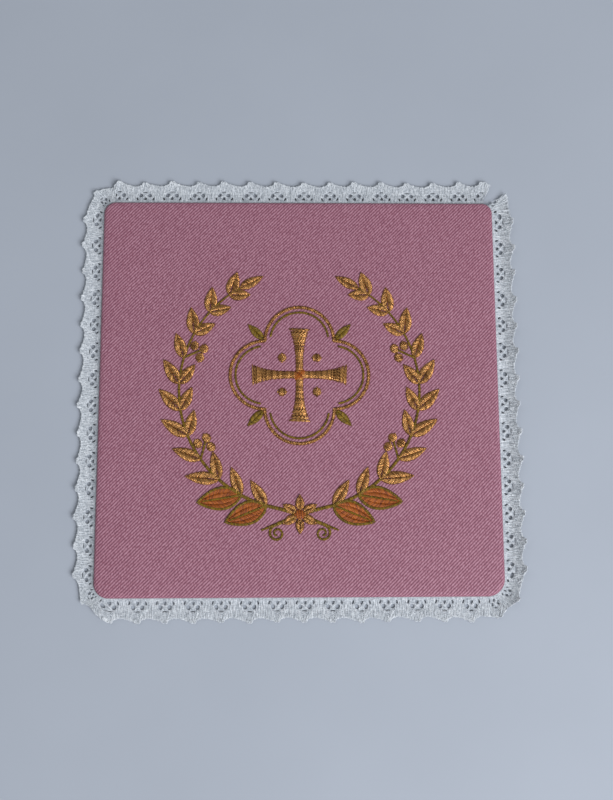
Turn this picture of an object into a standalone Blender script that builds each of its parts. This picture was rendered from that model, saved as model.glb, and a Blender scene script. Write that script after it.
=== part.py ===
"""A chalice pall lying flat: a stiffened square of rose twill with a gathered lace edging.

Metres, +Z up. The origin is at the middle of the square, on the surface that it lies on, and +Y is
the top of the design. Two pieces: the square, which is one turned-over cloth on its stiff board, and
one strip of lace that runs round it and whose two ends meet at the upper right corner.
"""

import math
from collections import namedtuple

import bmesh
import bpy

MM = 0.001

# The stiffened square.
SIDE = 150 * MM
THICKNESS = 3 * MM
TURN = 1.3 * MM  # how far in the turned-over cloth has come where it lies flat, above and below
CROWN = 0.3 * MM  # the middle stands this much above the rim
PUCKER = 0.09 * MM  # the sewing's slight pull on the cloth
CORNER_STEPS = 5
SIDE_STEPS = 9

# The corners, in the order that the lace runs: anticlockwise from the upper right, where its ends meet.
Corner = namedtuple("Corner", "x y radius")
CORNERS = (
    Corner(1, 1, 4.0 * MM),
    Corner(-1, 1, 4.5 * MM),
    Corner(-1, -1, 5.5 * MM),
    Corner(1, -1, 6.5 * MM),
)

# The turned edge seen in section: height, and how far in from the widest outline.
Rim = namedtuple("Rim", "height inset")
RIM = (
    Rim(0.0, TURN),
    Rim(0.45 * MM, 0.4 * MM),
    Rim(1.4 * MM, 0.0),
    Rim(2.35 * MM, 0.3 * MM),
    Rim(2.85 * MM, TURN),
    Rim(THICKNESS, 3.2 * MM),
)
TOP_INSETS = (9 * MM, 20 * MM, 34 * MM, 50 * MM, 66 * MM)

# The lace.
CLEARANCE = 0.3 * MM  # from the square's widest outline to the lace's straight edge
LACE_THICKNESS = 1.0 * MM
SEAM_HEIGHT = 1.15 * MM  # the middle of the lace's thickness where it is sewn on
LIE_HEIGHT = 0.75 * MM  # and further out, where it lies
RIPPLE = 0.12 * MM  # the slight wave that gathering leaves
ACROSS = (0.0, 0.4, 0.72, 1.0)  # the section's points, as shares of the reach

# A straight side's picots, in the order that the lace runs. first and last are measured along the side
# from its middle, reach and dip are from the square's edge to a picot and to the hollow between two,
# and curl is how far the outer edge stands up.
Run = namedtuple("Run", "first last count reach dip curl")
RUNS = (
    Run(-62.5 * MM, 69.3 * MM, 14, 9.5 * MM, 7.3 * MM, 0.5 * MM),  # upper side
    Run(-68.0 * MM, 66.3 * MM, 14, 8.4 * MM, 6.3 * MM, 1.0 * MM),  # left side
    Run(-69.3 * MM, 62.8 * MM, 14, 9.4 * MM, 7.2 * MM, 0.4 * MM),  # lower side
    Run(-65.2 * MM, 67.4 * MM, 14, 8.8 * MM, 6.6 * MM, 2.6 * MM),  # right side, which curls up
)

# The scallop between two picots, one blunt and slanting, as the strip runs: where, and how far out.
Scallop = namedtuple("Scallop", "along out")
SCALLOP = (
    Scallop(0.05, 1.0),
    Scallop(0.12, 0.3),
    Scallop(0.26, 0.07),
    Scallop(0.45, 0.0),
    Scallop(0.66, 0.28),
    Scallop(0.83, 0.62),
    Scallop(0.95, 1.0),
)

# The lace round each corner, where it is pulled tight and pleated: the direction from the corner's
# centre in degrees at the seam and at the outer edge, how far it reaches, and how far it stands up.
Turn = namedtuple("Turn", "seam outer reach curl")
START = (  # the end that begins the upper side, cut at a slant
    Turn(84.0, 71.9, 7.6 * MM, 1.1 * MM),
    Turn(86.0, 80.5, 8.7 * MM, 0.9 * MM),
    Turn(87.5, 84.4, 9.4 * MM, 0.7 * MM),
    Turn(89.5, 89.5, 7.9 * MM, 0.5 * MM),
)
TURNS = (
    (  # upper left: a pleat under the upper run, then cut across
        Turn(91.0, 91.0, 7.8 * MM, 1.3 * MM),
        Turn(96.0, 96.0, 6.6 * MM, 0.2 * MM),
        Turn(110.0, 110.0, 6.6 * MM, 0.4 * MM),
        Turn(134.0, 134.0, 8.0 * MM, 0.8 * MM),
        Turn(149.0, 149.0, 6.7 * MM, 0.8 * MM),
        Turn(179.5, 179.5, 6.6 * MM, 0.9 * MM),
    ),
    (  # lower left: a standing pleat across the corner
        Turn(182.0, 182.0, 5.4 * MM, 0.8 * MM),
        Turn(200.0, 200.0, 5.5 * MM, 0.8 * MM),
        Turn(215.6, 215.6, 6.9 * MM, 0.7 * MM),
        Turn(226.0, 226.0, 5.5 * MM, 0.5 * MM),
        Turn(240.0, 238.0, 5.3 * MM, 1.9 * MM),
        Turn(252.0, 256.0, 7.2 * MM, 1.6 * MM),
    ),
    (  # lower right: the curl runs into a rounder fold
        Turn(276.0, 276.0, 7.4 * MM, 0.4 * MM),
        Turn(284.0, 284.0, 8.5 * MM, 0.5 * MM),
        Turn(288.0, 288.0, 8.4 * MM, 0.6 * MM),
        Turn(298.5, 298.5, 6.8 * MM, 1.4 * MM),
        Turn(315.0, 315.0, 6.8 * MM, 2.6 * MM),
        Turn(326.0, 326.0, 7.7 * MM, 2.0 * MM),
        Turn(338.0, 338.0, 7.0 * MM, 2.2 * MM),
        Turn(352.0, 352.0, 6.3 * MM, 2.5 * MM),
    ),
)
FINISH = (  # the end of the right side, cut square past the corner
    Turn(372.0, 372.0, 7.1 * MM, 2.0 * MM),
    Turn(392.0, 384.0, 8.3 * MM, 1.6 * MM),
    Turn(421.0, 396.8, 9.3 * MM, 1.2 * MM),
)

ROSE = (0.457, 0.181, 0.240, 1.0)
WHITE = (0.800, 0.810, 0.800, 1.0)


def centre_of(corner):
    """The middle of a corner's round."""
    half = SIDE / 2 - corner.radius
    return corner.x * half, corner.y * half


def outline(inset):
    """The square's outline, drawn in by inset, with the same number of points at any inset."""
    points = []
    for i, corner in enumerate(CORNERS):
        radius = max(corner.radius - inset, 0.8 * MM)
        half = SIDE / 2 - inset - radius
        ring = []
        for step in range(CORNER_STEPS + 1):
            angle = math.radians(90 * (i + step / CORNER_STEPS))
            ring.append((
                corner.x * half + radius * math.cos(angle),
                corner.y * half + radius * math.sin(angle),
            ))
        points.append(ring)
    loop = []
    for i, ring in enumerate(points):
        loop.extend(ring)
        here, there = ring[-1], points[(i + 1) % 4][0]
        for step in range(1, SIDE_STEPS):
            t = step / SIDE_STEPS
            loop.append((here[0] + (there[0] - here[0]) * t, here[1] + (there[1] - here[1]) * t))
    return loop


def swell(x, y):
    """How far the top stands above the rim's height: a low crown, and the pull of the sewing."""
    across = max(abs(x), abs(y)) / (SIDE / 2)
    crown = CROWN * (1 - across**2)
    wave = math.sin(x / (19 * MM) + 0.8) * math.cos(y / (23 * MM) - 0.5)
    return crown + PUCKER * wave * (1 - across**4)


def add_object(name, bm, colour, roughness):
    """Finish a mesh as a named object with its own material."""
    bmesh.ops.recalc_face_normals(bm, faces=bm.faces)
    mesh = bpy.data.meshes.new(name)
    bm.to_mesh(mesh)
    bm.free()
    mesh.shade_smooth()
    mesh.set_sharp_from_angle(angle=math.radians(40))
    material = bpy.data.materials.new(name)
    material.use_nodes = True
    shader = material.node_tree.nodes["Principled BSDF"]
    shader.inputs["Base Color"].default_value = colour
    shader.inputs["Roughness"].default_value = roughness
    shader.inputs["Metallic"].default_value = 0.0
    mesh.materials.append(material)
    obj = bpy.data.objects.new(name, mesh)
    bpy.context.scene.collection.objects.link(obj)
    return obj


def bridge(bm, lower, upper):
    """Join two rings of vertices with the same number of points."""
    count = len(lower)
    for i in range(count):
        j = (i + 1) % count
        bm.faces.new((lower[i], lower[j], upper[j], upper[i]))


def build_square():
    """The board with the cloth turned over it: a flat underside, a round rim and a low crown."""
    bm = bmesh.new()
    rings = []
    for rim in RIM:
        rings.append([bm.verts.new((x, y, rim.height)) for x, y in outline(rim.inset)])
    for inset in TOP_INSETS:
        rings.append([
            bm.verts.new((x, y, THICKNESS + swell(x, y))) for x, y in outline(inset)
        ])
    for lower, upper in zip(rings, rings[1:]):
        bridge(bm, lower, upper)
    bm.faces.new(list(reversed(rings[0])))
    middle = bm.verts.new((0, 0, THICKNESS + swell(0, 0)))
    last = rings[-1]
    for i, vert in enumerate(last):
        bm.faces.new((vert, last[(i + 1) % len(last)], middle))
    return add_object("square", bm, ROSE, 0.75)


def path():
    """The outline as runs of (start, kind, corner index, length), from the upper right corner on."""
    parts = []
    start = 0.0
    for i, corner in enumerate(CORNERS):
        arc = corner.radius * math.pi / 2
        parts.append((start, "arc", i, arc))
        start += arc
        straight = SIDE - corner.radius - CORNERS[(i + 1) % 4].radius
        parts.append((start, "straight", i, straight))
        start += straight
    return parts, start


PATH, ROUND = path()


def edge_at(along):
    """The point on the outline that lies along it, and the direction that points outwards."""
    along = along % ROUND
    for start, kind, i, length in reversed(PATH):
        if along >= start:
            break
    corner = CORNERS[i]
    cx, cy = centre_of(corner)
    if kind == "arc":
        angle = math.radians(90 * i) + (along - start) / corner.radius
    else:
        angle = math.radians(90 * (i + 1))
    nx, ny = math.cos(angle), math.sin(angle)
    x, y = cx + corner.radius * nx, cy + corner.radius * ny
    if kind == "straight":
        x -= ny * (along - start)
        y += nx * (along - start)
    return x, y, nx, ny


def along_turn(degrees):
    """How far along the outline a direction at its corner lies; past 360 it is the second time round."""
    i = int(degrees // 90)
    lap = ROUND if i >= 4 else 0.0
    i = i % 4
    start = PATH[2 * i][0]
    return lap + start + math.radians(degrees % 90) * CORNERS[i].radius


def along_run(i, from_middle):
    """How far along the outline a place on straight side i lies, measured from the side's middle."""
    start, _, _, _ = PATH[2 * i + 1]
    return start + SIDE / 2 - CORNERS[i].radius + from_middle


def stations():
    """Every section of the lace: along at the seam, along at the outer edge, reach and curl."""
    rows = [(along_turn(t.seam), along_turn(t.outer), t.reach, t.curl) for t in START]
    for i, run in enumerate(RUNS):
        pitch = (run.last - run.first) / (run.count - 1)

        def add(place, out):
            here = along_run(i, place)
            rows.append((here, here, run.dip + (run.reach - run.dip) * out, run.curl))

        lead = 0.2 if i in (0, 3) else 0.0
        if lead:
            add(run.first - pitch * lead, 0.5)
        add(run.first - pitch * 0.05, 1.0)
        for k in range(run.count - 1):
            for s in SCALLOP:
                add(run.first + pitch * (k + s.along), s.out)
        add(run.last + pitch * 0.05, 1.0)
        if i in (1, 2, 3):
            add(run.last + pitch * 0.13, 0.3)
            add(run.last + pitch * 0.26, 0.07)
        turns = TURNS[i] if i < 3 else FINISH
        rows.extend((along_turn(t.seam), along_turn(t.outer), t.reach, t.curl) for t in turns)
    return rows


def build_lace():
    """One strip round the square: sections laid along the outline and joined, with closed ends."""
    bm = bmesh.new()
    loops = []
    for seam, outer, reach, curl in stations():
        x0, y0, nx0, ny0 = edge_at(seam)
        x1, y1, nx1, ny1 = edge_at(outer)
        inner = (x0 + nx0 * CLEARANCE, y0 + ny0 * CLEARANCE)
        edge = (x1 + nx1 * reach, y1 + ny1 * reach)
        wave = RIPPLE * (1 + math.sin(seam / (3.1 * MM)) * math.cos(seam / (11 * MM)))
        top, bottom = [], []
        for share in ACROSS:
            x = inner[0] + (edge[0] - inner[0]) * share
            y = inner[1] + (edge[1] - inner[1]) * share
            z = SEAM_HEIGHT + (LIE_HEIGHT - SEAM_HEIGHT) * min(share * 2, 1)
            z += curl * share**2.5 + wave * share
            top.append(bm.verts.new((x, y, z + LACE_THICKNESS / 2)))
            bottom.append(bm.verts.new((x, y, z - LACE_THICKNESS / 2)))
        loops.append(top + bottom[::-1])
    for here, there in zip(loops, loops[1:]):
        bridge(bm, here, there)
    bm.faces.new(loops[0])
    bm.faces.new(list(reversed(loops[-1])))
    return add_object("lace_edging", bm, WHITE, 0.9)


for old in list(bpy.data.objects):
    bpy.data.objects.remove(old, do_unlink=True)
build_square()
build_lace()
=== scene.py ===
"""A chalice pall lying on a table: an embroidered rose twill square over a stiff board, edged with lace."""

import math
import random

import bmesh
import bpy
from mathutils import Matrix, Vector, geometry, noise


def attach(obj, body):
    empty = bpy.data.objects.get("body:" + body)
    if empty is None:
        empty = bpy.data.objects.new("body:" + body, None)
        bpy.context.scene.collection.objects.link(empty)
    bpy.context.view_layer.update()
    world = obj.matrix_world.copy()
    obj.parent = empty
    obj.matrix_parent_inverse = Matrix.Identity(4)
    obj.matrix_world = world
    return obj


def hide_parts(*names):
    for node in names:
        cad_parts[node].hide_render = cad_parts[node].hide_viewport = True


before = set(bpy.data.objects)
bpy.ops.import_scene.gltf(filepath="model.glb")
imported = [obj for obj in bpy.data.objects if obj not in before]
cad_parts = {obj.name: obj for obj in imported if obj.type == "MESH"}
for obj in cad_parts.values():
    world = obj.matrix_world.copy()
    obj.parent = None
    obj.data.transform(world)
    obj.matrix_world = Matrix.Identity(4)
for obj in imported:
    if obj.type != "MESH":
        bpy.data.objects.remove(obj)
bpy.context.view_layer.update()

# The square.
# Polyester twill in liturgical rose, pulled over a thin stiff board and turned under all round. The
# turned edge is round in section, and the face has a low crown with the sewing's slight pull in it.
MM = 0.001
SIDE = 150 * MM
THICKNESS = 3 * MM
TURN = 1.3 * MM  # how far in the turned edge's round goes
RIM_HALF = 1.44 * MM  # half its height
CROWN = 0.3 * MM
PUCKER, PUCKER_WIDE, PUCKER_LONG = 0.09 * MM, 19 * MM, 23 * MM  # the sewing's pull: rise and spread
DIMPLE, DIMPLE_WIDE, DIMPLE_FINE = 0.05 * MM, 9 * MM, 4 * MM
CALM = 12 * MM  # how near the edge the cloth starts to lie smooth
DIP, DIP_REACH = 0.12 * MM, 0.9 * MM  # the face's dip beside the turned edge
FACE_FROM, FACE_TO = 1.7 * MM, 74 * MM  # the face's rings of points, and the gaps between them
FINE_TO, FINE_GAP, WIDE_GAP = 3 * MM, 0.5 * MM, 2.2 * MM
CORNER_STEPS, SIDE_STEPS, EDGE_STEPS = 10, 56, 14
# each corner's side and the radius of its round, anticlockwise from the upper right
CORNERS = ((1, 1, 4.0 * MM), (-1, 1, 4.5 * MM), (-1, -1, 5.5 * MM), (1, -1, 6.5 * MM))


def to_linear(code, alpha=1.0):
    """A colour's sRGB hex code as the linear values that Blender's sockets take."""
    values = [int(code[i : i + 2], 16) / 255 for i in (1, 3, 5)]
    return (*(v / 12.92 if v <= 0.04045 else ((v + 0.055) / 1.055) ** 2.4 for v in values), alpha)


def add_node(tree, kind, settings=None, inputs=None):
    """A node with its settings and inputs; a node that is given as an input stands for its first output."""
    node = tree.nodes.new(kind)
    for name, value in (settings or {}).items():
        setattr(node, name, value)
    for name, value in (inputs or {}).items():
        if isinstance(value, bpy.types.Node):
            value = value.outputs[0]
        if isinstance(value, bpy.types.NodeSocket):
            tree.links.new(value, node.inputs[name])
        else:
            node.inputs[name].default_value = value
    return node


def math_node(tree, operation, *values):
    """A maths node on its values, in their order."""
    return add_node(tree, "ShaderNodeMath", {"operation": operation}, dict(enumerate(values)))


def vector_node(tree, operation, *values):
    """A vector maths node on its values, in their order."""
    return add_node(tree, "ShaderNodeVectorMath", {"operation": operation}, dict(enumerate(values)))


def noise_node(tree, place, scale, detail, dimensions="3D"):
    """A noise texture, its grain about 1 / scale of a metre."""
    inputs = {"Vector": place, "Scale": scale, "Detail": detail}
    return add_node(tree, "ShaderNodeTexNoise", {"noise_dimensions": dimensions}, inputs)


def new_material(name):
    """An empty material with its output and shader, ready for its nodes."""
    material = bpy.data.materials.new(name)
    material.use_nodes = True
    tree = material.node_tree
    return material, tree, tree.nodes["Principled BSDF"]


def new_object(name, data, material=None):
    """A scene object at the origin, with its material."""
    obj = bpy.data.objects.new(name, data)
    bpy.context.scene.collection.objects.link(obj)
    if material:
        data.materials.append(material)
    return obj


def outline(inset):
    """The square's outline, drawn in by inset, anticlockwise from the start of the upper right round."""
    arcs = []
    for i, (sx, sy, radius) in enumerate(CORNERS):
        r = max(radius - inset, 0.8 * MM)
        half = SIDE / 2 - inset - r
        turns = [math.radians(90 * (i + step / CORNER_STEPS)) for step in range(CORNER_STEPS + 1)]
        arcs.append([(sx * half + r * math.cos(a), sy * half + r * math.sin(a)) for a in turns])
    loop = []
    for i, arc in enumerate(arcs):
        (x0, y0), (x1, y1) = arc[-1], arcs[(i + 1) % 4][0]
        loop += arc
        for step in range(1, SIDE_STEPS):
            t = step / SIDE_STEPS
            loop.append((x0 + (x1 - x0) * t, y0 + (y1 - y0) * t))
    return loop


def cloth_top(x, y):
    """The height of the square's face."""
    inset = SIDE / 2 - max(abs(x), abs(y))
    share = 1 - inset / (SIDE / 2)
    wave = math.sin(x / PUCKER_WIDE + 0.8) * math.cos(y / PUCKER_LONG - 0.5)
    fine = noise.noise(Vector((x, y, 0)) / DIMPLE_WIDE)
    fine += 0.5 * noise.noise(Vector((x, y, 5)) / DIMPLE_FINE)
    soft = min(1, max(0, inset / CALM))
    edge = DIP * math.exp(-max(0, inset - TURN) / DIP_REACH)
    return THICKNESS - edge + CROWN * (1 - share**2) + (PUCKER * wave + DIMPLE * fine) * soft


def build_square():
    """Rings of points: up the turned edge, then in over the face; its UV map is the flat cloth, in metres."""
    bm = bmesh.new()
    rings, places = [], {}
    for step in range(EDGE_STEPS + 1):
        turn = math.radians(-90 + 180 * step / EDGE_STEPS)
        ring = outline(TURN * (1 - math.cos(turn)))
        flat = outline(TURN - (RIM_HALF + TURN) / 2 * (math.pi / 2 - turn))
        rings.append([bm.verts.new((x, y, RIM_HALF * (1 + math.sin(turn)))) for x, y in ring])
        places.update(zip(rings[-1], flat))
    inset = FACE_FROM
    while inset < FACE_TO:
        rings.append([bm.verts.new((x, y, cloth_top(x, y))) for x, y in outline(inset)])
        inset += FINE_GAP if inset < FINE_TO else WIDE_GAP
    for lower, upper in zip(rings, rings[1:]):
        for i in range(len(lower)):
            j = (i + 1) % len(lower)
            bm.faces.new((lower[i], lower[j], upper[j], upper[i])).smooth = True
    bm.faces.new(rings[-1])
    base = bm.faces.new(rings[0][::-1])
    cloth = bm.loops.layers.uv.new("cloth")
    for face in bm.faces:
        for loop in face.loops:
            loop[cloth].uv = loop.vert.co.xy if face == base else places.get(loop.vert, loop.vert.co.xy)
    mesh = bpy.data.meshes.new("rose_square")
    bm.to_mesh(mesh)
    bm.free()
    return mesh


def rose_twill():
    """Polyester twill, three over and one under: threads 0.33 mm apart give ribs 0.93 mm apart.

    The eye sees lustrous slanting ribs with a grain of single floats; the colour is painted darker where a
    float dips, as painted shade, and lighter in small spots, as painted glints."""
    material, tree, shader = new_material("rose_polyester_twill")
    thread = 0.33 * MM
    repeat = 4.0  # threads, three over and one under
    place = add_node(tree, "ShaderNodeUVMap", {"uv_map": "cloth"})
    # the threads run a little uneven
    bend = noise_node(tree, place, 95.0, 2.0, "2D")
    bend = vector_node(tree, "MULTIPLY", bend.outputs["Color"], (0.7, 0.7, 0))
    cells = vector_node(tree, "MULTIPLY_ADD", place, (1 / thread,) * 3, bend)
    # columns of threads, in each of which a float lies one thread higher than in the last
    split = add_node(tree, "ShaderNodeSeparateXYZ", {}, {0: cells})
    column = math_node(tree, "FLOOR", split.outputs["X"])
    inside = math_node(tree, "FRACT", split.outputs["X"])
    climb = math_node(tree, "SUBTRACT", split.outputs["Y"], column)
    climb = math_node(tree, "DIVIDE", climb, repeat)
    float_no = math_node(tree, "FLOOR", climb)
    along = math_node(tree, "FRACT", climb)
    along = math_node(tree, "MULTIPLY", along, math.pi)
    along = math_node(tree, "SINE", along)
    across = math_node(tree, "MULTIPLY", inside, math.pi)
    across = math_node(tree, "SINE", across)
    across = math_node(tree, "MULTIPLY_ADD", across, 0.35, 0.65)
    height = math_node(tree, "MULTIPLY", along, across)
    # each float has its own tone, spots of 0.8 mm are painted glints, and broad clouds lie over all; the
    # float's height is added in, so that its dips are painted darker as shade
    grain_place = add_node(tree, "ShaderNodeCombineXYZ", {}, {"X": column, "Y": float_no})
    grain = add_node(tree, "ShaderNodeTexWhiteNoise", {"noise_dimensions": "2D"}, {"Vector": grain_place})
    cloud = noise_node(tree, place, 55.0, 3.0, "2D")
    tone = math_node(tree, "MULTIPLY_ADD", grain, 0.24, -0.12)
    tone = math_node(tree, "ADD", height, tone)
    beads = noise_node(tree, place, 1300.0, 0.0, "2D")
    mottle = math_node(tree, "MULTIPLY_ADD", cloud, 0.06, -0.26)
    mottle = math_node(tree, "MULTIPLY_ADD", beads, 0.46, mottle)
    tone = math_node(tree, "ADD", tone, mottle)
    # the ramp makes this colour: dark at the floats' dips as painted shade, light at their crowns and at the
    # painted glints
    ramp = add_node(tree, "ShaderNodeValToRGB", {}, {"Fac": tone})
    stops = ramp.color_ramp.elements
    stops[0].position, stops[0].color = 0.1, to_linear("#703D4D")
    stops[1].position, stops[1].color = 0.98, to_linear("#BE8A95")
    middle = stops.new(0.55)
    middle.color = to_linear("#965865")
    tree.links.new(ramp.outputs[0], shader.inputs["Base Color"])
    rough = math_node(tree, "MULTIPLY_ADD", height, -0.16, 0.68)
    tree.links.new(rough.outputs[0], shader.inputs["Roughness"])
    bump = add_node(tree, "ShaderNodeBump", {}, {"Height": height, "Strength": 0.6, "Distance": 0.14 * MM})
    tree.links.new(bump.outputs[0], shader.inputs["Normal"])
    shader.inputs["Sheen Weight"].default_value = 0.12
    shader.inputs["Sheen Roughness"].default_value = 0.5
    shader.inputs["Sheen Tint"].default_value = to_linear("#F0C8D6")
    shader.inputs["Specular IOR Level"].default_value = 0.45
    return material


square = new_object("rose_square", build_square(), rose_twill())
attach(square, "root")
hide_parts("square")

# The lace's lie.
# A bought cotton edging is sewn on under the turned edge, slightly gathered. It lies flat on three
# sides, curls up along the right one, is pleated at three corners and meets at the upper right.
PITCH = 10 * MM  # one repeat, laid flat
WIDTH = 9.5 * MM  # from the square to a picot, laid flat
TUCK = 0.6 * MM  # what goes in under the turned edge
SEAM_HEIGHT = 1.1 * MM
LIE_HEIGHT = 0.38 * MM
FAR_RISE, FAR_SETTLE = 0.5 * MM, 0.7  # how much higher the far side is, and how much of it is lost outwards
DESCENT, FAR_DESCENT = 4.5, 2.2  # how steeply the lace comes down from the seam, and how much less far off
CURL_POWER = 2.5
RIPPLE = 0.15 * MM
# straight sides from the upper one on: the first and the last picot from the side's middle, the
# number of picots, their reach, and how far the outer edge stands up
RUNS = (
    (-62.5 * MM, 69.3 * MM, 14, 8.9 * MM, 0.5 * MM),
    (-68.0 * MM, 66.3 * MM, 14, 8.25 * MM, 1.0 * MM),
    (-69.3 * MM, 62.8 * MM, 14, 9.4 * MM, 0.4 * MM),
    (-65.2 * MM, 67.4 * MM, 14, 8.35 * MM, 2.6 * MM),
)
# the turns: repeat number, direction from the corner's centre at the seam and at the outer edge in
# degrees, reach, and how far the outer edge stands up; then the side that follows
TURNS = (
    ((-0.32, 84.0, 69.8, 9.9 * MM, 1.1 * MM), (0.0, 87.5, 83.4, 9.3 * MM, 0.7 * MM)),
    (
        (14.1, 90.2, 90.2, 8.9 * MM, 1.3 * MM),
        (14.2, 98.0, 95.5, 8.8 * MM, 1.7 * MM),
        (14.3, 92.0, 91.0, 8.8 * MM, 0.6 * MM),
        (14.4, 101.0, 99.0, 8.3 * MM, 0.0 * MM),
        (14.6, 112.0, 110.0, 8.2 * MM, 0.4 * MM),
        (15.0, 134.0, 134.0, 8.0 * MM, 0.8 * MM),
        (15.4, 149.0, 149.0, 8.4 * MM, 0.8 * MM),
        (15.8, 179.5, 179.5, 7.6 * MM, 0.9 * MM),
    ),
    (
        (29.3, 182.0, 182.0, 7.1 * MM, 0.8 * MM),
        (29.7, 200.0, 200.0, 6.6 * MM, 0.8 * MM),
        (30.0, 215.6, 215.6, 6.9 * MM, 0.7 * MM),
        (30.3, 226.0, 226.0, 7.0 * MM, 0.5 * MM),
        (30.6, 240.0, 238.0, 6.6 * MM, 1.9 * MM),
        (30.85, 252.0, 256.0, 7.8 * MM, 1.6 * MM),
    ),
    (
        (44.7, 276.0, 276.0, 8.8 * MM, 0.4 * MM),
        (45.0, 286.0, 286.0, 8.5 * MM, 0.5 * MM),
        (45.25, 301.0, 301.0, 8.6 * MM, 2.3 * MM),
        (45.35, 295.0, 294.0, 8.6 * MM, 1.2 * MM),
        (45.5, 305.0, 305.0, 8.2 * MM, 1.0 * MM),
        (45.7, 315.0, 315.0, 7.9 * MM, 2.6 * MM),
        (46.0, 326.0, 326.0, 7.7 * MM, 2.0 * MM),
        (46.35, 338.0, 338.0, 8.2 * MM, 2.2 * MM),
        (46.7, 352.0, 352.0, 7.4 * MM, 2.5 * MM),
    ),
    (
        (60.3, 372.0, 372.0, 9.0 * MM, 2.0 * MM),
        (60.6, 392.0, 384.0, 9.4 * MM, 1.6 * MM),
        (60.9, 421.0, 400.5, 9.8 * MM, 1.2 * MM),
    ),
)
FIRST_REPEAT, LAST_REPEAT = TURNS[0][0][0], TURNS[-1][-1][0]
REPEATS = 62
# the guide's rows in one repeat, its points across as shares of the width, and its UV map's margins
GUIDE_ROWS = 20
GUIDE_SHARES = (-0.12, 0.0, 0.2, 0.4, 0.55, 0.7, 0.85, 1.0, 1.12)
START_MARGIN, SIDE_MARGIN = 0.5, 0.2
END_SHORT = 0.001  # how far short of the guide's ends the lace is cut, in repeats


def outline_starts():
    """Where each corner's round and each side begin along the outline, and its whole length."""
    starts, here = [], 0.0
    for i, (_, _, radius) in enumerate(CORNERS):
        straight = SIDE - radius - CORNERS[(i + 1) % 4][2]
        starts.append((here, here + radius * math.pi / 2))
        here += radius * math.pi / 2 + straight
    return starts, here


STARTS, ROUND = outline_starts()


def along_turn(degrees):
    """How far along the outline a direction at its corner lies; past 360 the second lap begins."""
    lap, i = divmod(int(degrees // 90), 4)
    return lap * ROUND + STARTS[i][0] + math.radians(degrees % 90) * CORNERS[i][2]


def edge_at(along):
    """The point that lies along the outline, and the direction that points outwards there."""
    along %= ROUND
    i = max(k for k in range(4) if along >= STARTS[k][0])
    sx, sy, radius = CORNERS[i]
    past = max(0.0, along - STARTS[i][1])
    angle = math.radians(90 * i) + min(along - STARTS[i][0], STARTS[i][1] - STARTS[i][0]) / radius
    nx, ny = math.cos(angle), math.sin(angle)
    half = SIDE / 2 - radius
    return sx * half + radius * nx - ny * past, sy * half + radius * ny + nx * past, nx, ny


def lie_rows():
    """The lie, row by row: repeat number, along at the seam and at the edge, reach, curl.

    Each picot's place, lean, reach and curl differ a little."""
    rows = []
    draw = random.Random(11)
    for i, turns in enumerate(TURNS):
        rows += [(n, along_turn(a), along_turn(b), reach, curl) for n, a, b, reach, curl in turns]
        if i == len(RUNS):
            break
        first, last, number, reach, curl = RUNS[i]
        base = STARTS[i][1] + SIDE / 2 - CORNERS[i][2]
        count = math.ceil(rows[-1][0] + 0.01)
        for k in range(number):
            along = base + first + (last - first) * k / (number - 1) + draw.uniform(-0.25, 0.25) * MM
            lean = draw.uniform(-0.35, 0.35) * MM
            part = reach + draw.uniform(-0.3, 0.3) * MM
            rows.append((count + k, along, along + lean, part, curl * draw.uniform(0.75, 1.2)))
    return rows


def build_guide():
    """The lace's lie as a plain sheet, with the flat lace's places as its UV map."""
    rows = lie_rows()
    steps = round((LAST_REPEAT - FIRST_REPEAT) * GUIDE_ROWS)
    verts, places, faces = [], [], []
    wide = len(GUIDE_SHARES)
    for step in range(steps + 1):
        number = FIRST_REPEAT + (LAST_REPEAT - FIRST_REPEAT) * step / steps
        k = max(j for j in range(len(rows) - 1) if rows[j][0] <= number + 1e-6)
        t = (number - rows[k][0]) / (rows[k + 1][0] - rows[k][0])
        seam, outer, reach, curl = (a + (b - a) * t for a, b in zip(rows[k][1:], rows[k + 1][1:]))
        x0, y0, _, ny0 = edge_at(seam)
        x1, y1, nx1, ny1 = edge_at(outer)
        wave = RIPPLE * (1 + math.sin(number * 2 * math.pi) * 0.6 + 0.4 * math.sin(number * 3.7))
        for share in GUIDE_SHARES:
            x = x0 + (x1 + nx1 * reach - x0) * share
            y = y0 + (y1 + ny1 * reach - y0) * share
            out = max(share, 0)
            far = (1 + ny0) / 2
            down = min(out * (DESCENT - FAR_DESCENT * far), 1)
            z = SEAM_HEIGHT + FAR_RISE * far * (1 - FAR_SETTLE * down) - (SEAM_HEIGHT - LIE_HEIGHT) * down
            z += curl * out**CURL_POWER + wave * out
            verts.append((x, y, z))
            places.append(((number + START_MARGIN) / REPEATS, (share + SIDE_MARGIN) / (1 + 2 * SIDE_MARGIN)))
    for step in range(steps):
        for j in range(wide - 1):
            a = step * wide + j
            faces.append((a, a + 1, a + wide + 1, a + wide))
    mesh = bpy.data.meshes.new("lace_lie")
    mesh.from_pydata(verts, [], faces)
    uv_map = mesh.uv_layers.new(name="lay")
    for loop in mesh.loops:
        uv_map.data[loop.index].uv = places[loop.vertex_index]
    mesh.shade_smooth()
    return mesh


guide = new_object("lace_lie", build_guide())

# The lace's pattern, laid flat.
# Torchon-like machine lace: a cloth ground with six openings under each picot, worked with fine
# threads that fan to a scalloped edge, a plaited footing and rims, and a pair of picot loops.

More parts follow.
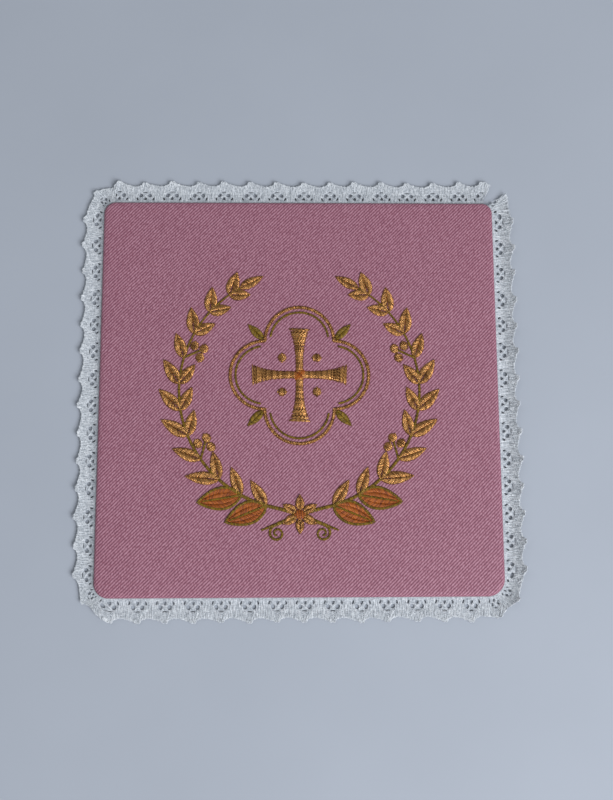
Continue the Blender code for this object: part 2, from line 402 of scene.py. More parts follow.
# the scallop from one picot to the next: where, and its share of the rise from hollow to picot
SCALLOP = (
    (0.0, 1.0), (0.05, 0.92), (0.12, 0.5), (0.22, 0.14), (0.34, 0.0), (0.46, 0.03),
    (0.62, 0.25), (0.8, 0.55), (0.93, 0.8), (0.97, 0.95), (1.0, 1.0),
)
HALF = 5.0  # half a repeat, in mm as all of the pattern is
HOLLOW, PICOT = 7.15, 9.05  # from the square to the hollow between two picots, and to the picot
GROUND_SHORT = 0.05  # how far the cloth ground ends inside the edge
FAN_THREADS = 15
EDGE_WEFT = (0.45, 1.05, 1.65, 2.25, 2.85)  # weft threads that follow the edge, by their distance from it
WEFT = (0.95, 1.6, 2.3, 3.0, 3.7, 4.4)  # and those across the openings' bars, by theirs from the square
SCALLOP_POINTS = 20
GRAIN_ACROSS, GRAIN_OUT = 12, 0.8  # the ground's inner points: gaps across a repeat, mm between rows
GRAIN_CLEAR, GRAIN_SHORT = 0.25, 0.5  # how far they keep from an opening and from the edge
GROUND_THICK = 0.2 * MM
GROUND_UNEVEN, THREAD_UNEVEN, CORD_UNEVEN = 0.36 * MM, 0.42 * MM, 0.36 * MM  # how far each strays
# each opening: its middle, its half width and half height in mm, its tilt in degrees and its corners
OPENINGS = (
    (-1.65, 3.4, 0.75, 0.92, -18, 10),
    (1.65, 3.4, 0.75, 0.92, 18, 10),
    (0.0, 1.85, 0.85, 0.75, 90, 3),
    (-3.0, 1.75, 0.36, 0.82, 20, 8),
    (3.0, 1.75, 0.36, 0.82, -20, 8),
    (0.0, 4.9, 0.95, 0.22, 0, 8),
)


def edge_of(u):
    """How far from the square the lace's edge is, u mm from a picot's middle."""
    t = (u / (2 * HALF)) % 1
    for (t0, out0), (t1, out1) in zip(SCALLOP, SCALLOP[1:]):
        if t <= t1:
            return HOLLOW + (PICOT - HOLLOW) * (out0 + (out1 - out0) * (t - t0) / (t1 - t0))
    return PICOT


def opening_rim(opening, grow):
    """An opening's outline in mm, grown by grow; a three-cornered one is blunted."""
    u, v, wide, high, tilt, corners = opening
    points = []
    turn = math.radians(tilt)
    count = corners if corners > 3 else 9
    for k in range(count):
        a = 2 * math.pi * k / count
        radius = 1.0 if corners > 3 else 0.66 + 0.4 * (1 + math.cos(3 * a)) / 2
        x, y = (wide + grow) * radius * math.cos(a), (high + grow) * radius * math.sin(a)
        across, up = x * math.cos(turn) - y * math.sin(turn), x * math.sin(turn) + y * math.cos(turn)
        points.append((u + across, v + up))
    return points


def holds(ring, x, y):
    """Whether a ring of points holds a place."""
    crossed = False
    for (x0, y0), (x1, y1) in zip(ring, ring[1:] + ring[:1]):
        if (y0 > y) != (y1 > y) and x < (x1 - x0) * (y - y0) / (y1 - y0) + x0:
            crossed = not crossed
    return crossed


def build_ground():
    """One repeat of the cloth ground, flat, with its openings left out; points within give it a grain."""
    low = -TUCK / MM
    rises = [low + (edge_of(HALF) - GROUND_SHORT - low) * k / 9 for k in range(10)]
    across = [k * 2 * HALF / SCALLOP_POINTS - HALF for k in range(SCALLOP_POINTS + 1)]
    rim = [(u, low) for u in across] + [(HALF, v) for v in rises[1:-1]]
    rim += [(u, edge_of(u) - GROUND_SHORT) for u in reversed(across)]
    rim += [(-HALF, v) for v in reversed(rises[1:-1])]
    rings = [rim] + [opening_rim(o, 0.0) for o in OPENINGS]
    points, edges = [], []
    for ring in rings:
        first = len(points)
        points += [Vector(p) for p in ring]
        edges += [(first + k, first + (k + 1) % len(ring)) for k in range(len(ring))]
    wider = [opening_rim(o, GRAIN_CLEAR) for o in OPENINGS]
    for row in range(1, 11):
        for step in range(1, GRAIN_ACROSS):
            u, v = -HALF + step * 2 * HALF / GRAIN_ACROSS, low + row * GRAIN_OUT
            if v < edge_of(u) - GRAIN_SHORT and not any(holds(ring, u, v) for ring in wider):
                points.append(Vector((u, v)))
    found = geometry.delaunay_2d_cdt(points, edges, [], 0, 1e-5)
    flat = [(p.x, p.y) for p in found[0]]
    kept = []
    for face in found[2]:
        x = sum(flat[i][0] for i in face) / 3
        y = sum(flat[i][1] for i in face) / 3
        if holds(rim, x, y) and not any(holds(ring, x, y) for ring in rings[1:]):
            kept.append(face)
    mesh = bpy.data.meshes.new("lace_ground_repeat")
    mesh.from_pydata([(x * MM, y * MM, 0) for x, y in flat], [], kept)
    mesh.update()
    if mesh.polygons[0].normal.z < 0:
        mesh.flip_normals()
    return mesh


def threads_object(name, lines):
    """Flat threads as a curve object; a line is its points and radius in mm, and whether it closes."""
    curve = bpy.data.curves.new(name, "CURVE")
    curve.dimensions = "3D"
    for points, radius, closed in lines:
        spline = curve.splines.new("POLY")
        spline.points.add(len(points) - 1)
        for knot, place in zip(spline.points, points):
            knot.co = (place[0] * MM, place[1] * MM, (place[2] if len(place) > 2 else 0) * MM, 1)
            knot.radius = radius * MM
        spline.use_cyclic_u = closed
    return new_object(name, curve)


def foot_of(away, k):
    """Where a fan's thread begins: past the openings it meets, or near the footing between two groups."""
    if away < 1.2:
        return 5.1
    if away < 2.6:
        return 4.35
    return (0.5, 0.9, 0.4)[k % 3] if away > 3.5 else 2.7


def fan_lines():
    """The fine threads: fans that run out from the openings and draw in to the picot, and the weft."""
    lines = []
    for k in range(FAN_THREADS):
        out = -HALF + (k + 0.5) * 2 * HALF / FAN_THREADS
        near = abs(out)
        start = math.copysign(near + 1.1 * (1 - near / HALF) * min(1, near / 0.7), out)
        foot = foot_of(abs(start), k)
        top = edge_of(out) + 0.05
        points = []
        for j in range(9):
            t = j / 8
            sway = 0.1 * math.sin(t * 7 + k * 2.3)
            lift = 0.16 + 0.06 * math.sin(j * 2.4 + k * 1.9) - 0.12 * (1 - min(1, t * 4))
            points.append((start + (out - start) * t**1.3 + sway, foot + (top - foot) * t, lift))
        lines.append((points, 0.16 + 0.04 * math.sin(k * 4.1), False))
    for off in EDGE_WEFT:
        points = []
        for j in range(25):
            u = -HALF + j * 2 * HALF / 24
            v = edge_of(u) - off + (off / 2.6) * 0.35 * math.cos(u * math.pi / HALF)
            v -= 0.3 * off * (edge_of(u) - HOLLOW) / 2
            points.append((u, v, 0.14 + 0.14 * (-1) ** j))
        lines.append((points, 0.12, False))
    for v in WEFT:
        start = 2.75 if v > 2.6 else 3.5
        points = []
        for j in range(11):
            u = start + (2 * HALF - 2 * start) * j / 10
            points.append((u, v + 0.08 * math.sin(j * 2.1 + v), 0.08 + 0.1 * (-1) ** j))
        lines.append((points, 0.12, False))
    return lines


def cord_lines():
    """The heavier threads: footing, rims, the plaits that cross between openings, edge and picots."""
    lines = []
    for v in (-0.1, 0.42):
        lines.append(([(-HALF + j, v) for j in range(11)], 0.12, False))
    zigzag = [(-HALF + j * 2 * HALF / 36, 0.16 + (0.2 if j % 2 else -0.2), 0.1) for j in range(37)]
    lines.append((zigzag, 0.07, False))
    for opening in OPENINGS:
        lines.append(([(x, y, 0.05) for x, y in opening_rim(opening, 0.1)], 0.095, True))
    for side in (-1, 1):
        for shift in (-0.11, 0.11):
            points = []
            for j in range(7):
                t = j / 6
                u = side * (-1.15 + 2.3 * t) + shift
                points.append((u, 2.3 + 2.1 * t, 0.1 + 0.05 * side * math.sin(t * math.pi)))
            lines.append((points, 0.1, False))
    rim = [-HALF + j * 2 * HALF / 32 for j in range(33)]
    lines.append(([(u, edge_of(u) - 0.08, 0.1 + 0.05 * (-1) ** j) for j, u in enumerate(rim)], 0.16, False))
    for side in (-1, 1):
        foot, tip = (side * 0.9, PICOT - 1.2), (side * 0.4, PICOT + 0.12)
        across = (0.34 * (tip[1] - foot[1]) / 1.41, -0.34 * (tip[0] - foot[0]) / 1.41)
        loop = []
        for k in range(10):
            a = 2 * math.pi * k / 10
            t = 0.5 - 0.5 * math.cos(a)
            loop.append((
                foot[0] + (tip[0] - foot[0]) * t + across[0] * math.sin(a),
                foot[1] + (tip[1] - foot[1]) * t + across[1] * math.sin(a),
                0.24,
            ))
        lines.append((loop, 0.17, True))
    for k in range(14):
        u = -4.7 + k * 0.72
        if abs(u) > 1.1:
            v = edge_of(u)
            high = 0.2 + 0.12 * math.sin(k * 2.7)
            bend = ((-0.26, -0.2), (-0.17, high * 0.85), (0.15, high), (0.27, -0.15))
            lines.append(([(u + a, v + b, 0.1) for a, b in bend], 0.12, False))
    return lines


def scale_node(tree, vector, scale):
    """A vector times a number."""
    return add_node(tree, "ShaderNodeVectorMath", {"operation": "SCALE"}, {0: vector, "Scale": scale})


def new_tree(name, rows):
    """A Geometry Nodes tree with named inputs, their identifiers, and the sockets that give their values."""
    tree = bpy.data.node_groups.new(name, "GeometryNodeTree")
    tree.interface.new_socket("Geometry", in_out="INPUT", socket_type="NodeSocketGeometry")
    sockets = {}
    for title, kind in rows:
        made = tree.interface.new_socket(title, in_out="INPUT", socket_type="NodeSocket" + kind)
        sockets[title] = made.identifier
    tree.interface.new_socket("Geometry", in_out="OUTPUT", socket_type="NodeSocketGeometry")
    return tree, sockets, add_node(tree, "NodeGroupInput").outputs


def finish_tree(tree, shape, material):
    """End a tree: its instances are made real, and the shape is shaded smooth and gets its material."""
    real = add_node(tree, "GeometryNodeRealizeInstances", {}, {"Geometry": shape})
    smooth = add_node(tree, "GeometryNodeSetShadeSmooth", {}, {"Geometry": real})
    done = add_node(tree, "GeometryNodeSetMaterial", {}, {"Geometry": smooth, "Material": material})
    add_node(tree, "NodeGroupOutput", {}, {0: done})


def lay_tree():
    """Repeats a flat pattern along X, then lays it on the guide through the guide's UV map."""
    tree, sockets, given = new_tree("lay_the_lace", (
        ("Pattern", "Object"), ("Guide", "Object"), ("Repeats", "Int"), ("Pitch", "Float"),
        ("Width", "Float"), ("First", "Float"), ("Last", "Float"), ("Unevenness", "Float"),
        ("Thread", "Material"),
    ))
    pattern = add_node(tree, "GeometryNodeObjectInfo", {}, {"Object": given["Pattern"]})
    lie = add_node(tree, "GeometryNodeObjectInfo", {}, {"Object": given["Guide"]})
    offset = add_node(tree, "ShaderNodeCombineXYZ", {}, {"X": given["Pitch"]})
    row = {"Count": given["Repeats"], "Offset": offset}
    row = add_node(tree, "GeometryNodeMeshLine", {"mode": "OFFSET"}, row)
    laid = {"Points": row, "Instance": pattern.outputs["Geometry"]}
    laid = add_node(tree, "GeometryNodeInstanceOnPoints", {}, laid)
    laid = add_node(tree, "GeometryNodeRealizeInstances", {}, {"Geometry": laid})
    here = add_node(tree, "GeometryNodeInputPosition")
    split = add_node(tree, "ShaderNodeSeparateXYZ", {}, {0: here})
    number = math_node(tree, "DIVIDE", split.outputs["X"], given["Pitch"])
    early, late = (
        add_node(tree, "FunctionNodeCompare", {"operation": operation}, {0: number, 1: given[end]})
        for operation, end in (("LESS_THAN", "First"), ("GREATER_THAN", "Last"))
    )
    outside = add_node(tree, "FunctionNodeBooleanMath", {"operation": "OR"}, {0: early, 1: late})
    laid = add_node(tree, "GeometryNodeDeleteGeometry", {}, {"Geometry": laid, "Selection": outside})
    wobble = noise_node(tree, here, 900.0, 1.0)
    wobble = vector_node(tree, "SUBTRACT", wobble.outputs["Color"], (0.5, 0.5, 0.5))
    wobble = scale_node(tree, wobble, given["Unevenness"])
    laid = add_node(tree, "GeometryNodeSetPosition", {}, {"Geometry": laid, "Offset": wobble})
    kinds = add_node(tree, "GeometryNodeSeparateComponents", {}, {"Geometry": laid})
    section = add_node(tree, "GeometryNodeCurvePrimitiveCircle", {}, {"Resolution": 4, "Radius": 1.0})
    thick = add_node(tree, "GeometryNodeInputRadius")
    tubes = {"Curve": kinds.outputs["Curve"], "Profile Curve": section, "Scale": thick, "Fill Caps": True}
    tubes = add_node(tree, "GeometryNodeCurveToMesh", {}, tubes)
    sheet = {"Geometry": kinds.outputs["Mesh"], "Distance": 0.03 * MM}
    sheet = add_node(tree, "GeometryNodeMergeByDistance", {}, sheet)
    flat = add_node(tree, "GeometryNodeJoinGeometry")
    tree.links.new(tubes.outputs[0], flat.inputs[0])
    tree.links.new(sheet.outputs[0], flat.inputs[0])
    width = math_node(tree, "DIVIDE", split.outputs["Y"], given["Width"])
    u = math_node(tree, "MAXIMUM", number, given["First"])
    u = math_node(tree, "MINIMUM", u, given["Last"])
    u = math_node(tree, "ADD", u, START_MARGIN)
    u = math_node(tree, "DIVIDE", u, given["Repeats"])
    v = math_node(tree, "ADD", width, SIDE_MARGIN)
    v = math_node(tree, "DIVIDE", v, 1 + 2 * SIDE_MARGIN)
    place = add_node(tree, "ShaderNodeCombineXYZ", {}, {"X": u, "Y": v})
    vectors = {"data_type": "FLOAT_VECTOR"}
    stored = {"Geometry": flat, "Name": "flat", "Value": here}
    stored = add_node(tree, "GeometryNodeStoreNamedAttribute", vectors, stored)
    map_name = add_node(tree, "GeometryNodeInputNamedAttribute", vectors, {"Name": "lay"})
    normal = add_node(tree, "GeometryNodeInputNormal")
    asked = {"Mesh": lie.outputs["Geometry"], "UV Map": map_name, "Sample UV": place}
    found = add_node(tree, "GeometryNodeSampleUVSurface", vectors, {"Value": here, **asked})
    up = add_node(tree, "GeometryNodeSampleUVSurface", vectors, {"Value": normal, **asked})
    raised = scale_node(tree, up, split.outputs["Z"])
    raised = vector_node(tree, "ADD", found, raised)
    lying = add_node(tree, "GeometryNodeSetPosition", {}, {"Geometry": stored, "Position": raised})
    finish_tree(tree, lying, given["Thread"])
    return tree, sockets


def plain_mesh(obj, name):
    """What a piece's modifiers make of it, as a plain mesh object; the made-up one goes."""
    graph = bpy.context.evaluated_depsgraph_get()
    made = obj.evaluated_get(graph)
    mesh = bpy.data.meshes.new_from_object(made, preserve_all_data_layers=True, depsgraph=graph)
    mesh.name = name
    bpy.data.objects.remove(obj, do_unlink=True)
    made = bpy.data.objects.new(name, mesh)
    bpy.context.scene.collection.objects.link(made)
    return made


def make(name, tree, sockets, values):
    """What a tree makes of the values for its inputs, as a plain mesh object."""
    carrier = new_object(name + "_maker", bpy.data.meshes.new(name + "_maker"))
    modifier = carrier.modifiers.new("maker", "NODES")
    modifier.node_group = tree
    for key, value in values.items():
        modifier[sockets[key]] = value
    return plain_mesh(carrier, name)


def lay(pattern, name, material, unevenness):
    """Lay one flat pattern on the guide; the pattern goes."""
    made = make(name, lay_group, lay_inputs, {
        "Pattern": pattern, "Guide": guide, "Repeats": REPEATS, "Pitch": PITCH, "Width": WIDTH,
        "First": FIRST_REPEAT + END_SHORT, "Last": LAST_REPEAT - END_SHORT,
        "Unevenness": unevenness, "Thread": material,
    })
    bpy.data.objects.remove(pattern, do_unlink=True)
    return made


def mix_node(tree, share, dark, light):
    """The colour that lies a share of the way from the dark one to the light one."""
    inputs = {0: share, 6: to_linear(dark), 7: to_linear(light)}
    return add_node(tree, "ShaderNodeMix", {"data_type": "RGBA"}, inputs)


def cotton(name, dark, light, strength):
    """Bleached cotton: matt and slightly fuzzy, with plies that run outwards.

    The eye sees light through it too, since it is thin."""
    material, tree, shader = new_material(name)
    flat = add_node(tree, "ShaderNodeAttribute", {"attribute_name": "flat"}).outputs["Vector"]
    drawn = vector_node(tree, "MULTIPLY", flat, (1.0, 0.38, 1.0))
    plies = noise_node(tree, drawn, 1500.0, 1.0)
    fuzz = noise_node(tree, flat, 1700.0, 1.0)
    tone = math_node(tree, "MULTIPLY_ADD", plies, 1.3, -0.72)
    tone = math_node(tree, "MULTIPLY_ADD", fuzz, 1.35, tone)
    tone = add_node(tree, "ShaderNodeClamp", {}, {0: tone})
    mix = mix_node(tree, tone, dark, light)
    tree.links.new(mix.outputs[2], shader.inputs["Base Color"])
    lint = noise_node(tree, flat, 7000.0, 2.0)
    plied = {"Height": tone, "Strength": strength, "Distance": 0.1 * MM}
    plied = add_node(tree, "ShaderNodeBump", {}, plied)
    bump = {"Height": lint, "Strength": 0.6, "Distance": 0.05 * MM, "Normal": plied}
    bump = add_node(tree, "ShaderNodeBump", {}, bump)
    tree.links.new(bump.outputs[0], shader.inputs["Normal"])
    shader.inputs["Roughness"].default_value = 0.9
    shader.inputs["Sheen Weight"].default_value = 0.15
    shader.inputs["Sheen Roughness"].default_value = 0.6
    shader.inputs["Specular IOR Level"].default_value = 0.25
    through = add_node(tree, "ShaderNodeBsdfTranslucent", {}, {"Color": mix.outputs[2]})
    both = add_node(tree, "ShaderNodeMixShader", {}, {0: 0.14, 1: shader, 2: through})
    tree.links.new(both.outputs[0], tree.nodes["Material Output"].inputs["Surface"])
    return material


lay_group, lay_inputs = lay_tree()
thread_white = cotton("bleached_cotton_thread", "#B2B6B8", "#F8F8F5", 0.8)
# the ground is the same cotton as the threads; its darker colours are painted shade, since it lies below them
shaded_ground_white = cotton("bleached_cotton_ground_painted_shade", "#888E92", "#DBDCDB", 1.0)
ground = lay(new_object("ground_repeat", build_ground()), "lace_ground", shaded_ground_white, GROUND_UNEVEN)
wall = ground.modifiers.new("thickness", "SOLIDIFY")
wall.thickness = GROUND_THICK
wall.offset = 0.0
ground = plain_mesh(ground, "lace_ground_sheet")
fan_repeat = threads_object("fan_repeat", fan_lines())
fans = lay(fan_repeat, "lace_fan_threads", thread_white, THREAD_UNEVEN)
cord_repeat = threads_object("cord_repeat", cord_lines())
cords = lay(cord_repeat, "lace_cords_and_picots", thread_white, CORD_UNEVEN)
bpy.data.objects.remove(guide, do_unlink=True)
for piece in (ground, fans, cords):
    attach(piece, "root")
    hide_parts("lace_edging")

# The embroidery.
# Machine embroidery through the face: padded satin columns in gold, olive and rust thread that lie
# side by side across each row. The design is a cross in a four-lobed frame inside a leafy wreath.
STITCH_GAP = 0.42 * MM  # between neighbouring satin stitches
THREAD_WIDE = 0.47 * MM
SHORTEST = 0.3  # the shortest stitch of a leaf, mm
LEAF_SLANT, FILL_SLANT = 32, 36  # degrees that a gold and a rust leaf's stitches slant
CROSS_AT = (0.0, 7.0)
CROSS_HEART, CROSS_ARM = 1.2, 17.5  # where an arm of the cross begins and ends, mm from its middle
LOBE = 13.0  # radius of a lobe of the frame, mm
WREATH = 45.0  # radius of the wreath's stems, mm
WREATH_AT = (0.0, 1.5)
ROSETTE_AT = (0.0, -45.0)

gold, olive, rust = [], [], []


def polar(centre, radius, degrees):
    """The point at a direction and distance from a centre."""
    a = math.radians(degrees)
    return centre[0] + radius * math.cos(a), centre[1] + radius * math.sin(a)


def turned(centre, degrees, x, y):
    """A point given along and across a direction from a centre."""
    a = math.radians(degrees)
    return centre[0] + x * math.cos(a) - y * math.sin(a), centre[1] + x * math.sin(a) + y * math.cos(a)


def column(threads, points, widths, slant=0.0, closed=False, lift=0.0):
    """One row of stitches: its centre line and width in mm, and the stitches' slant in degrees."""
    widths = widths if isinstance(widths, list) else [widths] * len(points)
    threads.append((points, [w / 2 for w in widths], math.radians(slant), closed, lift))


def half_width(t, width):
    """A pointed leaf's half width, from its base to its tip."""
    return width / 2 * math.sin(math.pi * min(1, max(0, t)) ** 0.82) ** 0.85


def satin_leaf(threads, base, degrees, length, width, lift=0.0):
    """A leaf in two halves, whose stitches slant away from the midrib towards the tip."""
    for side in (-1, 1):
        points, widths = [], []
        for k in range(13):
            t = 0.03 + 0.94 * k / 12
            half = half_width(t, width)
            points.append(turned(base, degrees, length * t, side * (half / 2 - 0.04)))
            widths.append(max(SHORTEST, half / math.cos(math.radians(LEAF_SLANT)) * 1.02))
        column(threads, points, widths, side * LEAF_SLANT, False, lift)


def disc(threads, centre, radius, degrees, lift=0.0):
    """A round spot of satin."""
    across = [radius * (k / 4 - 1) * 0.97 for k in range(9)]
    widths = [2 * math.sqrt(radius**2 - x**2) for x in across]
    column(threads, [turned(centre, degrees, x, 0) for x in across], widths, 0, False, lift)


def filled_leaf(base, degrees, length, width):
    """A rust leaf, each half in two slanting columns, with an olive midrib and border."""
    for side in (-1, 1):
        for start, end in ((0.0, 0.52), (0.48, 1.0)):
            points, widths = [], []
            for k in range(13):
                t = 0.04 + 0.92 * k / 12
                half = half_width(t, width)
                onward = length * t + half * start * 0.6
                points.append(turned(base, degrees, onward, side * half * (start + end) / 2))
                widths.append(max(SHORTEST, half * (end - start) / math.cos(math.radians(FILL_SLANT))))
            column(rust, points, widths, side * FILL_SLANT)
    border = [turned(base, degrees, length * k / 14, half_width(k / 14, width)) for k in range(15)]
    border += [turned(base, degrees, length * k / 14, -half_width(k / 14, width)) for k in range(13, 0, -1)]
    column(olive, border, 1.1, 12, True, 0.12)
    midrib = [turned(base, degrees, length * t, 0) for t in (0.0, 0.3, 0.6, 0.88)]
    column(olive, midrib, [1.0, 0.9, 0.8, 0.6], 10, False, 0.16)


def tendril(base, degrees, size, hand):
    """A stem that leaves its base in a direction and curls up into a spiral."""
    middle = turned(base, degrees, 0, hand * size)
    points = [polar(middle, size * (1 - 0.03 * k), degrees - hand * (90 - 21 * k)) for k in range(26)]
    column(olive, points, [1.05 - 0.013 * k for k in range(26)], 14)


def spray(hand, degrees):
    """A direction on one side's spray: 0 at the bottom, growing up the side."""
    return -90 + hand * degrees


for quarter in range(4):
    direction = 90 * quarter
    arm = [CROSS_HEART + (CROSS_ARM - CROSS_HEART) * k / 14 for k in range(15)]
    flare = [2.9 + 5.0 * ((a - CROSS_HEART) / (CROSS_ARM - CROSS_HEART)) ** 3 for a in arm]
    column(gold, [turned(CROSS_AT, direction, a, 0) for a in arm], flare)
    middle = turned(CROSS_AT, direction, LOBE, 0)
    column(gold, [polar(middle, LOBE, direction - 90 + 9 * k) for k in range(21)], 1.3, 8)
    column(olive, [polar(middle, LOBE - 2.0, direction - 81 + 9 * k) for k in range(19)], 0.85, 10)
    angle = turned(CROSS_AT, direction + 45, LOBE * 1.414 + 1.0, 0)  # where two lobes meet
    satin_leaf(olive, angle, direction + 45, 8.0, 3.4)
    disc(gold, turned(CROSS_AT, direction + 45, 9.2, 0), 1.7, direction)
disc(rust, CROSS_AT, 2.3, 45, 0.1)

for hand in (-1, 1):
    turns = range(-15, 151, 3)
    stem = [polar(WREATH_AT, WREATH + 9 * (max(0, 12 - d) / 27) ** 2, spray(hand, d)) for d in turns]
    column(olive, stem, [min(0.7 + 0.35 * k, 1.5 - 0.8 * k / len(stem)) for k in range(len(stem))], 12)
    for k in range(11):
        at = 16 + 12.8 * k
        base = polar(WREATH_AT, WREATH, spray(hand, at))
        onward = spray(hand, at) + hand * 90
        size = 1.0 - 0.03 * k
        if k < 2:
            filled_leaf(base, onward - hand * 38, 16.0, 7.8)
            satin_leaf(gold, base, onward + hand * 42, 11.0, 4.5)
        elif k in (3, 7):
            satin_leaf(gold, base, onward - hand * 34, 12.5 * size, 4.7)
            column(olive, [base, turned(base, onward + hand * 50, 6.5, 0)], 0.9, 10)
            for away, aside in ((8.2, 0.0), (5.4, -2.5), (5.4, 2.5)):
                disc(gold, turned(base, onward + hand * 50, away, aside), 1.75, onward)
        else:
            satin_leaf(gold, base, onward - hand * 36, 13.4 * size, 5.0)
            satin_leaf(gold, base, onward + hand * 36, 11.4 * size, 4.6)
    top_end, low_end = spray(hand, 150), spray(hand, -10)
    satin_leaf(gold, polar(WREATH_AT, WREATH, top_end), top_end + hand * 92, 10.0, 4.0)
    tendril(polar(WREATH_AT, WREATH + 6.2, low_end), low_end - hand * 70, 3.0, hand)
for petal in range(6):
    satin_leaf(gold, polar(ROSETTE_AT, 1.6, 30 + 60 * petal), 30 + 60 * petal, 5.6, 3.4, 0.16)
disc(rust, ROSETTE_AT, 1.9, 0, 0.32)


def columns_object(name, columns):
    """The rows of stitches as a curve object on the face: radius is half a stitch, tilt its slant."""
    curve = bpy.data.curves.new(name, "CURVE")
    curve.dimensions = "3D"
    for points, halves, slant, closed, lift in columns:
        spline = curve.splines.new("POLY")
        spline.points.add(len(points) - 1)
        for knot, (x, y), half in zip(spline.points, points, halves):
            knot.co = (x * MM, y * MM, cloth_top(x * MM, y * MM) + lift * MM, 1)
            knot.radius = half * MM
            knot.tilt = slant
        spline.use_cyclic_u = closed
    return new_object(name, curve)


def build_stitch():
    """One stitch, unit sized: a flattened strand that arches over the padding and dips at its ends."""
    bm = bmesh.new()
    rings = []
    for x, size in ((-0.5, 0.7), (-0.32, 1.0), (0.0, 1.0), (0.32, 1.0), (0.5, 0.7)):
        loop = []
        for k in range(6):
            a = 2 * math.pi * k / 6
            z = 0.6 * (1 - (2 * x) ** 4) + 0.4 * size * math.sin(a)
            loop.append(bm.verts.new((x, 0.5 * size * math.cos(a), z)))
        rings.append(loop)
    for here, there in zip(rings, rings[1:]):
        for k in range(6):
            bm.faces.new((here[k], here[(k + 1) % 6], there[(k + 1) % 6], there[k]))
    bm.faces.new(rings[0])
    bm.faces.new(rings[-1][::-1])
    bmesh.ops.recalc_face_normals(bm, faces=bm.faces)
    mesh = bpy.data.meshes.new("stitch")
    bm.to_mesh(mesh)
    bm.free()
    twist = mesh.attributes.new("twist", "FLOAT_VECTOR", "POINT")
    for vert in mesh.vertices:
        turn = math.atan2(vert.co.z - 0.3, vert.co.y) / (2 * math.pi)
        twist.data[vert.index].vector = (vert.co.x, turn, 0)
    return mesh


def sew_tree():
    """Lays stitches side by side along rows, each as long as its row is wide there."""
    tree, sockets, given = new_tree("sew_the_rows", (
        ("Rows", "Object"), ("Stitch", "Object"), ("Gap", "Float"), ("Thread width", "Float"),
        ("Height", "Float"), ("Looseness", "Float"), ("Seed", "Int"), ("Thread", "Material"),
    ))
    lines = add_node(tree, "GeometryNodeObjectInfo", {}, {"Object": given["Rows"]})
    one = add_node(tree, "GeometryNodeObjectInfo", {}, {"Object": given["Stitch"]})
    spaced = {"Curve": lines.outputs["Geometry"], "Length": given["Gap"]}
    spaced = add_node(tree, "GeometryNodeResampleCurve", {"mode": "LENGTH"}, spaced)
    tangent = add_node(tree, "GeometryNodeInputTangent")
    across = vector_node(tree, "CROSS_PRODUCT", tangent, (0, 0, 1))
    tilt = add_node(tree, "GeometryNodeInputCurveTilt")
    seed_two = math_node(tree, "ADD", given["Seed"], 7)
    sway, swell = (
        add_node(tree, "FunctionNodeRandomValue", {"data_type": "FLOAT"}, {2: -1.0, 3: 1.0, "Seed": seed})
        for seed in (given["Seed"], seed_two)
    )
    turn = math_node(tree, "MULTIPLY", sway.outputs[1], given["Looseness"])
    turn = math_node(tree, "ADD", turn, tilt)
    way = {"Vector": across, "Angle": turn}
    way = add_node(tree, "ShaderNodeVectorRotate", {"rotation_type": "Z_AXIS"}, way)
    facing = {"axis": "X", "pivot_axis": "Z"}
    facing = add_node(tree, "FunctionNodeAlignRotationToVector", facing, {"Vector": way})
    radius = add_node(tree, "GeometryNodeInputRadius")
    vary = math_node(tree, "MULTIPLY", swell.outputs[1], given["Looseness"])
    longer = math_node(tree, "ADD", vary, 2.0)
    length = math_node(tree, "MULTIPLY", radius, longer)
    higher = math_node(tree, "ADD", vary, 1.0)
    height = math_node(tree, "MULTIPLY", given["Height"], higher)
    size = {"X": length, "Y": given["Thread width"], "Z": height}
    size = add_node(tree, "ShaderNodeCombineXYZ", {}, size)
    sewn = add_node(
        tree, "GeometryNodeInstanceOnPoints", {},
        {"Points": spaced, "Instance": one.outputs["Geometry"], "Rotation": facing, "Scale": size},
    )
    shade = add_node(tree, "FunctionNodeRandomValue", {"data_type": "FLOAT"}, {2: 0.0, 3: 1.0, "Seed": 3})
    tinted = add_node(
        tree, "GeometryNodeStoreNamedAttribute", {"data_type": "FLOAT", "domain": "INSTANCE"},
        {"Geometry": sewn, "Name": "tint", "Value": shade.outputs[1]},
    )
    finish_tree(tree, tinted, given["Thread"])
    return tree, sockets


def metallic_thread(name, dark, light, metallic, roughness):
    """Embroidery thread with a foil or rayon wrap: a silky glint along each strand, broken by its twist; the
    twist's glints are also painted into the colour as dark and light stripes.
    """
    material, tree, shader = new_material(name)
    twist = add_node(tree, "ShaderNodeAttribute", {"attribute_name": "twist"}).outputs["Vector"]
    tint = add_node(tree, "ShaderNodeAttribute", {"attribute_name": "tint"}).outputs["Fac"]
    split = add_node(tree, "ShaderNodeSeparateXYZ", {}, {0: twist})
    twist_and_glint = math_node(tree, "MULTIPLY_ADD", split.outputs["X"], 5.0, split.outputs["Y"])
    twist_and_glint = math_node(tree, "MULTIPLY_ADD", tint, 3.0, twist_and_glint)
    twist_and_glint = math_node(tree, "MULTIPLY", twist_and_glint, 2 * math.pi)
    twist_and_glint = math_node(tree, "SINE", twist_and_glint)
    # the twist's stripes move the colour between dark and light as painted glints; the tint adds a tone that
    # differs at random per stitch
    tone = math_node(tree, "MULTIPLY_ADD", twist_and_glint, 0.26, 0.2)
    tone = math_node(tree, "MULTIPLY_ADD", tint, 0.62, tone)
    mix = mix_node(tree, tone, dark, light)
    tree.links.new(mix.outputs[2], shader.inputs["Base Color"])
    bump = add_node(tree, "ShaderNodeBump", {}, {"Height": twist_and_glint, "Strength": 0.6, "Distance": 0.04 * MM})
    tree.links.new(bump.outputs[0], shader.inputs["Normal"])
    shader.inputs["Metallic"].default_value = metallic
    shader.inputs["Roughness"].default_value = roughness
    return material


sew_group, sew_inputs = sew_tree()
stitch = new_object("stitch", build_stitch())
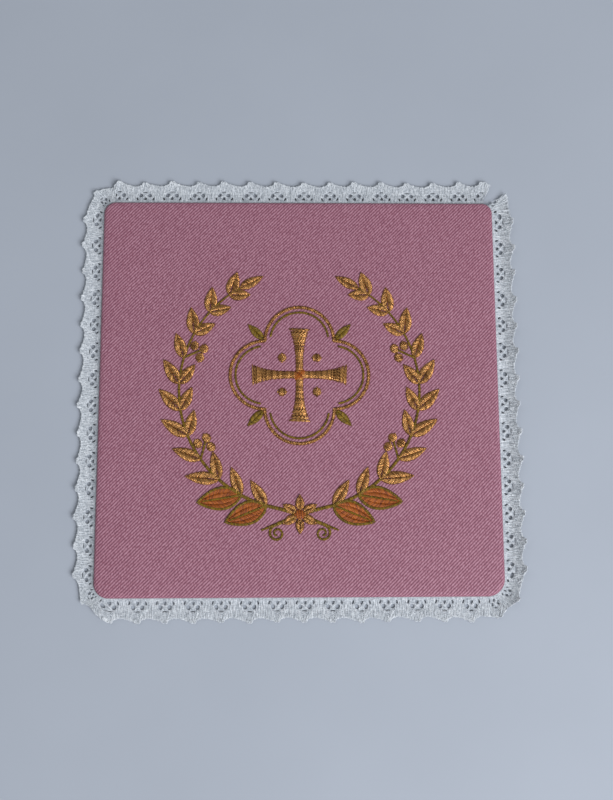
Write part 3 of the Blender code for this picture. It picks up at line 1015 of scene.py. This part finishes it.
# name, rows, height, looseness and seed; then the thread's name, the dark and light ends of its painted glint
# stripes, metallic, roughness
for name, rows, height, loose, seed, *thread in (
    ("gold_satin", gold, 0.5 * MM, 0.06, 1, "gold_metallic_thread", "#4E2407", "#E4A862", 0.8, 0.25),
    ("olive_satin", olive, 0.46 * MM, 0.06, 2, "olive_rayon_thread", "#3E2C02", "#A27E18", 0.3, 0.36),
    ("rust_satin", rust, 0.42 * MM, 0.08, 3, "rust_rayon_thread", "#602305", "#C66C20", 0.3, 0.4),
):
    source = columns_object(name + "_rows", rows)
    sewn = make(name, sew_group, sew_inputs, {
        "Rows": source, "Stitch": stitch, "Gap": STITCH_GAP, "Thread width": THREAD_WIDE, "Height": height,
        "Looseness": loose, "Seed": seed, "Thread": metallic_thread(*thread),
    })
    bpy.data.objects.remove(source, do_unlink=True)
    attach(sewn, "root")
    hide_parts("square")
bpy.data.objects.remove(stitch, do_unlink=True)

# The table and the light.
# A plain pale top, and soft daylight from the lower right with a weak sky over all of it.
TOP_HALF = 6  # metres, so that its far edge stays out of the way
top = bpy.data.meshes.new("table_top")
corners = [(x * TOP_HALF, y * TOP_HALF, 0) for x, y in ((-1, -1), (1, -1), (1, 1), (-1, 1))]
top.from_pydata(corners, [], [(0, 1, 2, 3)])
paint, paint_tree, paint_shader = new_material("pale_matt_paint")
mottle_at = add_node(paint_tree, "ShaderNodeTexCoord").outputs["Object"]
mottle = noise_node(paint_tree, mottle_at, 14.0, 4.0)
mix = mix_node(paint_tree, mottle, "#A6A9AD", "#AFB2B6")
paint_tree.links.new(mix.outputs[2], paint_shader.inputs["Base Color"])
paint_shader.inputs["Roughness"].default_value = 0.65
new_object("table_top", top, paint)

world = bpy.data.worlds.new("sky")
world.use_nodes = True
world.node_tree.nodes["Background"].inputs["Color"].default_value = to_linear("#D3DCE8")
world.node_tree.nodes["Background"].inputs["Strength"].default_value = 0.43
bpy.context.scene.world = world
# name, place, size, watts
for name, at, size, watts in (
    ("window", (0.75, -0.72, 0.95), 0.85, 22.8),
    ("bounce", (-0.8, 0.8, 1.4), 1.2, 3.0),
):
    lamp = bpy.data.lights.new(name, "AREA")
    lamp.size = size
    lamp.energy = watts
    lamp.color = to_linear("#EDF3FF")[:3]
    light = new_object(name, lamp)
    light.location = at
    light.rotation_euler = Vector(at).to_track_quat("Z", "Y").to_euler()

# the camera looks down on it from a little in front
camera_data = bpy.data.cameras.new("camera")
camera_data.sensor_fit = "HORIZONTAL"
camera_data.sensor_width = 36
camera_data.lens = 56.0
camera_data.clip_start = 0.01
camera = new_object("camera", camera_data)
camera.location = (-0.00512, -0.05794, 0.35513)
camera.rotation_euler = [math.radians(a) for a in (8.948, -1.215, -0.248)]
bpy.context.scene.camera = camera
bpy.context.scene.view_settings.view_transform = "Standard"
